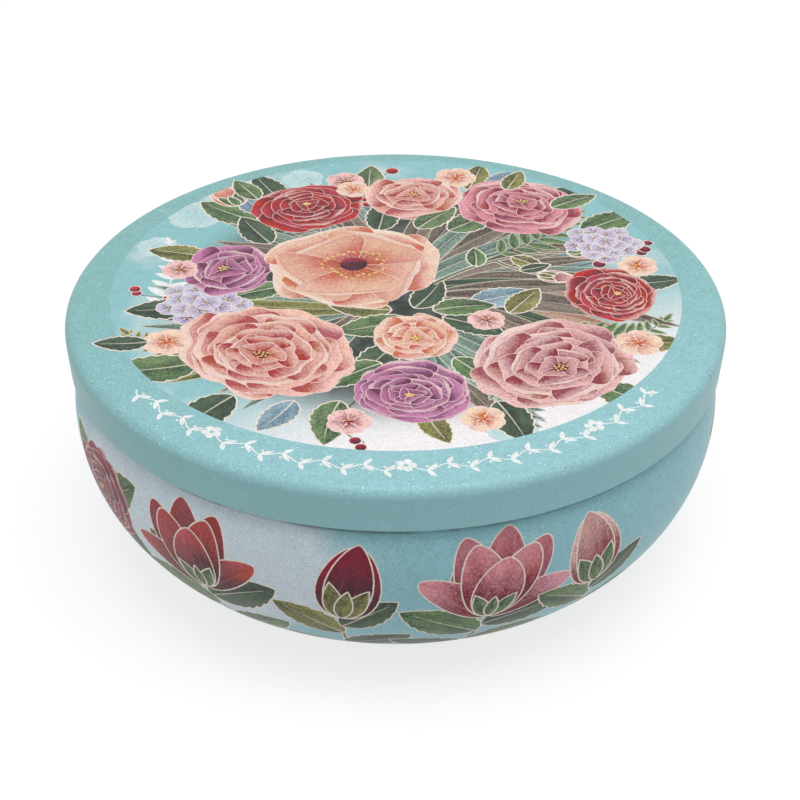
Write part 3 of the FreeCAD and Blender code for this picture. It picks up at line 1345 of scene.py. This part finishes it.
def grain_group():
    """The sandy frosted grain of the lacquer: it mottles a colour, adds bright specks of painted glint and
    dark pits, and gives a height. Its inputs say how much there is of all of it, and of the painted glint."""
    made = Finish(bpy.data.node_groups.new("lacquer_grain", "ShaderNodeTree"))
    for name, way, kind in (
            ("Color", "INPUT", "Color"), ("Strength", "INPUT", "Float"), ("Painted glint specks", "INPUT", "Float"),
            ("Color", "OUTPUT", "Color"), ("Height", "OUTPUT", "Float")):
        made.tree.interface.new_socket(name, in_out=way, socket_type="NodeSocket" + kind)
    given, strength, painted_glints = made.node("NodeGroupInput").outputs[:3]
    place = made.place()
    fine = made.noise(place, grain_size, 2.0, 0.6)
    broad = made.noise(place, blotch_size, 3.0, 0.6)
    cells = made.node("ShaderNodeTexVoronoi", {"Vector": place, "Scale": 1 / (speck_size * MM)})
    chance = made.node("ShaderNodeSeparateColor", {"Color": cells.outputs["Color"]}).outputs
    near = made.smooth(cells.outputs["Distance"], *speck_edge)
    speck = made.product(near, made.smooth(made.swayed(chance[0], broad, speck_gathering), *speck_levels))
    pit = made.product(near, made.smooth(chance[1], *pit_levels))
    # Painted glint: bright specks lighten the colour where the lacquer would glint in the light
    painted_glint = made.product(speck, painted_glints, painted_glint_light)
    uneven = made.swayed(made.swayed(painted_glint, fine, grain_contrast), broad, blotch_contrast)
    bright = made.scaled(uneven, strength, lacquer_light)
    tone = made.node("ShaderNodeCombineColor", {0: bright, 1: bright, 2: bright}).outputs[0]
    mottled = made.mixed(1.0, given, tone, "MULTIPLY")
    pitted = made.mixed(made.product(pit, pit_shade, strength), mottled, stem_brown)
    height = made.product(made.scaled(speck, speck_height, fine), strength)
    made.node("NodeGroupOutput", {0: pitted, 1: height})
    return made.owner


def lacquered(made, colour, grain, strength=1.0, painted_glints=0.5):
    """Ends a printed material: the colour under frosted lacquer, with painted glints in its bright specks.
    """
    frosted = made.node("ShaderNodeGroup", {0: colour, 1: strength, 2: painted_glints}, node_tree=grain).outputs
    return made.surface(made.shader("ShaderNodeBsdfPrincipled", {
        "Base Color": frosted[0],
        "Normal": made.bump(frosted[1], grain_depth, 1.0),
        "Roughness": lacquer_roughness,
        "Specular IOR Level": lacquer_specular,
    }))


def lid_ground(grain):
    """Teal, darker and greener on the far left and brighter towards the front right, partly painted light
    and shade and partly the print's own hue, with less grain on the skirt and a few scuffs on the shoulder."""
    made = new_finish("lid_lacquer")
    place = made.place()
    # Partly painted light and shade: the teal brightens towards the front right and darkens to the far
    # left, where the print's hue also shifts
    near_right = made.towards(place, *lit_side, lid_radius)
    lit = made.smooth(made.swayed(near_right, made.noise(place, tint_size), tint_sway), *lit_levels)
    teal = made.mixed(lit, lid_teal_far, lid_teal)
    height = made.axes(place)[2]
    high = made.smooth_mm(height, overall_height - shoulder_radius, overall_height - edge_blend)
    outer = made.smooth_mm(made.reach(place), lid_panel_radius, lid_radius - edge_blend)
    chips = made.smooth(made.noise(place, chip_size, 3.0), *chip_levels)
    knocked = made.product(high, outer, chips, chip_strength, clamp=True)
    frost = made.scaled(high, 1 - skirt_grain, skirt_grain)
    # The lid's specks carry the full painted glint
    return lacquered(made, made.mixed(knocked, teal, tin_grey), grain, frost, 1.0)


def body_ground(grain):
    """Teal with a bank of pale mist on the side that faces left of the viewer, another behind, and a dark
    line of painted shade just under the lid's edge, where the lid's shade falls."""
    made = new_finish("body_lacquer")
    place = made.place()
    drift = made.noise(place, mist_size, 3.0)
    banks = []
    for across, back in mist_sides:
        facing = made.towards(place, across, back, belly_radius)
        banks.append(made.smooth(made.scaled(drift, mist_sway, facing), *mist_levels))
    misty = made.mixed(made.math("MAXIMUM", *banks), body_teal, mist_blue)
    height = made.axes(place)[2]
    # Painted shade: a dark band on the neck just under the lid's edge, standing in for the lid's shadow
    below, above = (made.smooth_mm(height, neck_base + low, neck_base + high) for low, high in under_lid_shade_line)
    patches = made.smooth(made.noise(place, under_lid_shade_size, 3.0), *under_lid_shade_levels)
    under_lid_shade = made.product(below, above, made.scaled(patches, under_lid_shade_variation, under_lid_shade_least))
    return lacquered(made, made.mixed(under_lid_shade, misty, under_lid_shade_grey), grain, body_grain, body_painted_glints)


def sky(grain):
    """A teal sky washed with soft pale cloud, and deep shade among the flowers."""
    made = new_finish("sky_wash")
    place = made.place()
    puffs = made.smooth(made.noise(place, cloud_size, 4.0, 0.6), *cloud_levels)
    low = made.smooth(made.towards(place, *pale_side, medallion_radius), *pale_levels)
    cloudy = made.math("MAXIMUM", made.product(puffs, cloud_share), low)
    washed = made.mixed(cloudy, sky_teal, sky_pale)
    shade = made.smooth_mm(made.reach(place), *shaded_reach)
    mottled = made.smooth(made.noise(place, shade_size, 4.0, 0.6), *shade_levels)
    deep = made.mixed(mottled, leaf_dark[0], sky_deep)
    return lacquered(made, made.mixed(shade, washed, deep), grain, sky_grain)


def two_inks(made, tone, stipple, drift, strength, grain):
    """Ends the material of printed shapes: a stippled tone between the two inks of each shape, whose hue
    and strength wander a little."""
    stippled = made.swayed(tone, made.noise(made.place(), stipple_size), stipple)
    share = made.product(stippled, 1.0, clamp=True)
    varied = made.node("ShaderNodeHueSaturation", {
        "Hue": made.swayed(0.5, drift, hue_drift),
        "Saturation": made.swayed(strength, drift, strength_drift),
        "Color": made.mixed(share, made.attribute("ink_dark"), made.attribute("ink_light")),
    })
    return lacquered(made, varied.outputs[0], grain)


def petal_ink(grain):
    """Watercolour petals: deep at the base, pale at the rim and on the left, with fine streaks."""
    made = new_finish("petal_ink")
    at = made.attribute("ink_at", "Vector")
    across, along, _ = made.axes(at)
    streaks = made.own_noise(at, streak_waves, 3.0)
    blotches = made.own_noise(at, petal_waves)
    tone = made.scaled(across, petal_right_tone, made.smooth(along, *petal_levels))
    tone = made.swayed(made.swayed(tone, streaks, streak_contrast), blotches, petal_contrast)
    return two_inks(made, tone, petal_stipple, made.own_noise(at, petal_drift), petal_strength, grain)


def leaf_ink(grain):
    """Leaves: one half lighter than the other, with side veins that run forward from the rib."""
    made = new_finish("leaf_ink")
    at = made.attribute("ink_at", "Vector")
    across, along, _ = made.axes(at)
    out = made.math("ABSOLUTE", across)
    step = made.math("FRACT", made.product(made.scaled(out, -vein_slant, along), veins_per_leaf))
    vein = made.smooth(made.math("ABSOLUTE", made.math("SUBTRACT", step, 0.5)), *vein_edge)
    half = made.smooth(across, *rib_edge)
    blotches = made.own_noise(at, leaf_waves, 3.0)
    tone = made.scaled(half, leaf_half_tone, made.scaled(out, leaf_edge_tone, leaf_rib_tone))
    tone = made.scaled(vein, leaf_vein_tone, made.swayed(tone, blotches, leaf_contrast))
    return two_inks(made, tone, leaf_stipple, made.own_noise(at, leaf_drift), 1.0, grain)


def line_ink(grain):
    """Fine lines, a little uneven in tone."""
    made = new_finish("line_ink")
    worn = made.smooth(made.noise(made.place(), line_wear_size, 3.0), *line_wear_levels)
    colour = made.mixed(made.product(worn, line_wear), made.attribute("ink_dark"), tan[1])
    return lacquered(made, colour, grain)


def bare_tin():
    """The inside: tinplate under thin gold lacquer, with the faint rings of drawing and small stains."""
    made = new_finish("inside_lacquer")
    place = made.place()
    drawn = made.node("ShaderNodeCombineXYZ", {0: made.reach(place), 1: made.axes(place)[2]}).outputs[0]
    rings = made.noise(drawn, drawing_ring_size, 3.0)
    stains = made.noise(place, stain_size, 4.0, 0.6)
    colour = made.mixed(made.smooth(stains, *stain_levels), inside_gold, inside_pale)
    return made.surface(made.shader("ShaderNodeBsdfPrincipled", {
        "Base Color": colour,
        "Normal": made.bump(rings, drawing_ring_depth, drawing_ring_strength),
        "Roughness": made.scaled(rings, ring_roughness, inside_roughness),
        "Metallic": 1.0,
    }))


def finishes():
    grain = grain_group()
    return {
        "lid_ground": lid_ground(grain),
        "body_ground": body_ground(grain),
        "tin": bare_tin(),
        "printed": {
            "sky": sky(grain),
            "petal": petal_ink(grain),
            "leaf": leaf_ink(grain),
            "line": line_ink(grain),
        },
    }


# The pieces

def end_heading(line):
    return math.cos(line[-1, 2]), math.sin(line[-1, 2])


def make_lid(materials):
    outside = sheet_face(lid_line, 1)
    shell = Shell({"ground": materials["lid_ground"], "tin": materials["tin"], **materials["printed"]})
    under = shell.turned(sheet_face(lid_line, -1), "tin")
    over = shell.turned(outside[:0:-1], "ground")
    shell.band(under[-1], over[0], "ground", end_heading(lid_line))

    def lift(flat):
        return np.insert(flat, 2, outside[0, 1], axis=1), np.tile((0.0, 0.0, 1.0), (len(flat), 1))

    border = round_axis(ring_angles, lid_panel_radius, 0)[:, :2]
    inner = round_axis(ring_angles, lid_panel_radius - panel_edge_ring, 0)[:, :2]
    lines = list(zip(inner, np.roll(inner, -1, axis=0)))
    shell.printed(lid_print().shapes, "ground", border, lines, over[-1], lift)
    return shell.object("lid_shell")


def make_body(materials):
    outside = sheet_face(body_line, -1)
    shell = Shell({"ground": materials["body_ground"], "tin": materials["tin"], **materials["printed"]})
    base = shell.turned(outside[:wall_start + 1], "ground")
    neck = shell.turned(outside[wall_end:], "ground")
    inside = shell.turned(sheet_face(body_line, 1)[::-1], "tin")
    shell.band(neck[-1], inside[0], "ground", end_heading(body_line))

    # The wall is printed flat at the belly's scale: x goes round the tin and y climbs it, undistorted.
    wall = outside[wall_start:wall_end + 1]
    along = np.hypot(np.diff(wall[:, 0]), np.diff(wall[:, 1]))
    climb = belly_radius * np.append(0, np.cumsum(2 * along / (wall[1:, 0] + wall[:-1, 0])))
    climb -= climb[np.argmax(wall[:, 0])]

    def lift(flat):
        angle = flat[:, 0] / belly_radius
        r, z, normal_r, normal_z = (np.interp(flat[:, 1], climb, column) for column in wall.T)
        return round_axis(angle, r, z), round_axis(angle, normal_r, normal_z)

    steps = np.arange(-segments // 2, segments // 2 + 1)
    across = steps * belly_radius * FULL_TURN / segments
    left, right = across[0], across[-1]
    seam = shell.add(*lift(np.array([(right, y) for y in climb[1:-1]])))
    border = [(x, climb[0]) for x in across] + [(right, y) for y in climb[1:-1]]
    border += [(x, climb[-1]) for x in across[::-1]] + [(left, y) for y in climb[-2:0:-1]]
    known = [base[-1][i % segments] for i in steps] + seam
    known += [neck[0][i % segments] for i in steps[::-1]] + seam[::-1]
    lines = [((x, climb[0]), (x, climb[-1])) for x in across[1:-1]]
    lines += [((left, y), (right, y)) for y in climb[1:-1]]
    shell.printed(body_print().shapes, "ground", border, lines, known, lift)
    return shell.object("body_shell")


# The studio

def make_floor():
    """A white floor. Its shadow looks paler than the light that it throws back would make it."""
    mesh = bpy.data.meshes.new("floor")
    corners = [(x * floor_reach, y * floor_reach, 0) for x, y in ((-1, -1), (1, -1), (1, 1), (-1, 1))]
    mesh.from_pydata(corners, [], [(0, 1, 2, 3)])
    floor = new_object("floor", mesh)
    made = new_finish("floor_white")
    plain = made.shader("ShaderNodeBsdfDiffuse", {"Color": grey(floor_grey)})
    shaded = made.shader("ShaderNodeBsdfDiffuse", {"Color": grey(seen_floor_grey)})
    far = made.smooth(made.reach(made.place()), *far_floor)
    strength = made.scaled(far, 1 - seen_floor_glow, seen_floor_glow)
    glow = made.shader("ShaderNodeEmission", {"Strength": strength})
    pale = made.shader("ShaderNodeAddShader", {0: shaded, 1: glow})
    mesh.materials.append(made.surface(made.seen_or_not(plain, pale)))


def softbox(name, place, size, power):
    """A square lamp that shines at the tin."""
    lamp = bpy.data.lights.new(name, "AREA")
    lamp.size = size
    lamp.energy = power
    box = new_object(name, lamp)
    box.location = place
    box.rotation_euler = (-Vector(place)).to_track_quat("-Z", "Y").to_euler()


def make_lights():
    """A white room that lights softly from all round, a broad lamp overhead and a weak one on each side."""
    made = Finish(bpy.data.worlds.new("studio"))
    unseen, seen = (made.shader("ShaderNodeBackground", {"Color": grey(1), "Strength": strength})
                    for strength in (world_light, 1.0))
    made.node("ShaderNodeOutputWorld", {"Surface": made.seen_or_not(unseen, seen)})
    bpy.context.scene.world = made.owner

    softbox("overhead", overhead_place, overhead_size, overhead_power)
    for name, place, power in zip(("left", "right"), side_places, side_powers):
        softbox(name, place, side_size, power)


def make_camera():
    """A camera that sees the lid's centre where the photograph shows it."""
    data = bpy.data.cameras.new("camera")
    data.sensor_width = sensor_width
    data.lens = focal_pixels * sensor_width / image_size
    camera = new_object("camera", data)
    ahead = Vector((0, math.cos(camera_elevation), -math.sin(camera_elevation)))
    camera.location = Vector((0, 0, overall_height * MM)) - ahead * camera_distance * MM
    looking = ahead.to_track_quat("-Z", "Y").to_matrix()
    right = math.atan2(image_size / 2 - lid_centre_pixel[0], focal_pixels)
    down = math.atan2(image_size / 2 - lid_centre_pixel[1], focal_pixels)
    aim = Matrix.Rotation(-right, 3, "Y") @ Matrix.Rotation(-down, 3, "X")
    rolled = Matrix.Rotation(camera_roll, 3, "Z")
    camera.rotation_euler = (looking @ aim @ rolled).to_euler()
    bpy.context.scene.camera = camera


materials = finishes()
lid = make_lid(materials)
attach(lid, "lid")
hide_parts("tin_lid")
body = make_body(materials)
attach(body, "body")
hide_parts("tin_body")
make_floor()
make_lights()
make_camera()
bpy.context.scene.view_settings.view_transform = "Standard"
